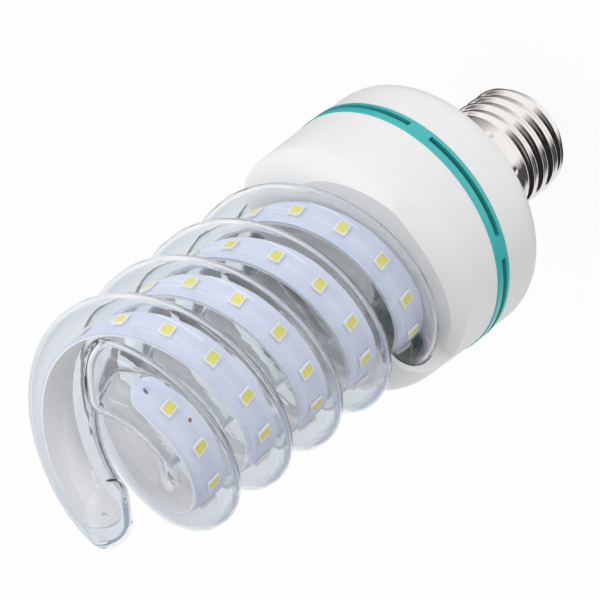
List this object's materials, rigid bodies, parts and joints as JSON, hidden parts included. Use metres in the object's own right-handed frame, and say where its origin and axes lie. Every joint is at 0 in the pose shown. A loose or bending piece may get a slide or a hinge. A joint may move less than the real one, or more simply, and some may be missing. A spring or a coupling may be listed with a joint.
{
  "type": "corn led bulb",
  "caption": "Spiral LED bulb: clear helical tubes with LED strips inside, on a white vented housing with a screw cap.",
  "frame": {"origin": "centre of the centre contact's outer face, at the cap's end", "axes": "+Z along the bulb's axis from the cap to the tips of the tubes; -Y is the side that faces the viewer in the picture"},
  "size_m": [0.0608, 0.0608, 0.1514],
  "materials": {
    "nickel": "polished nickel plate",
    "insulator_dark": "dark glassy insulator",
    "contact_metal": "tinned brass",
    "housing_white": "satin moulded white",
    "vent_teal": "satin teal",
    "tube_clear": "clear polycarbonate",
    "strip_metal": "white printed face on bare metal",
    "led_white": "white moulded",
    "phosphor": "yellow phosphor",
    "board": "green resin board",
    "can_sleeve": "printed-free sleeve",
    "film_case": "dipped resin",
    "ferrite": "ferrite",
    "copper_wire": "enamelled copper",
    "chip_black": "moulded epoxy",
    "resistor_body": "lacquered",
    "lead_red": "insulated wire",
    "lead_grey": "insulated wire"
  },
  "bodies": {
    "root": {"screw_shell": "nickel", "cap_insulator": "insulator_dark", "centre_contact": "contact_metal", "rear_housing": "housing_white", "vent_ring": "vent_teal", "front_housing": "housing_white", "spiral_tube_a": "tube_clear", "spiral_tube_b": "tube_clear", "led_strip_a": "strip_metal", "led_strip_b": "strip_metal", "led_packages_a": "led_white", "led_packages_b": "led_white", "led_windows_a": "phosphor", "led_windows_b": "phosphor", "driver_board": "board", "bulk_capacitor": "can_sleeve", "output_capacitor": "can_sleeve", "film_capacitor": "film_case", "inductor_core": "ferrite", "inductor_winding": "copper_wire", "bridge_rectifier": "chip_black", "driver_chip": "chip_black", "fuse_resistor": "resistor_body", "live_lead": "lead_red", "neutral_lead": "lead_grey", "strip_leads_a": "lead_grey", "strip_leads_b": "lead_grey"}
  },
  "joints": []
}
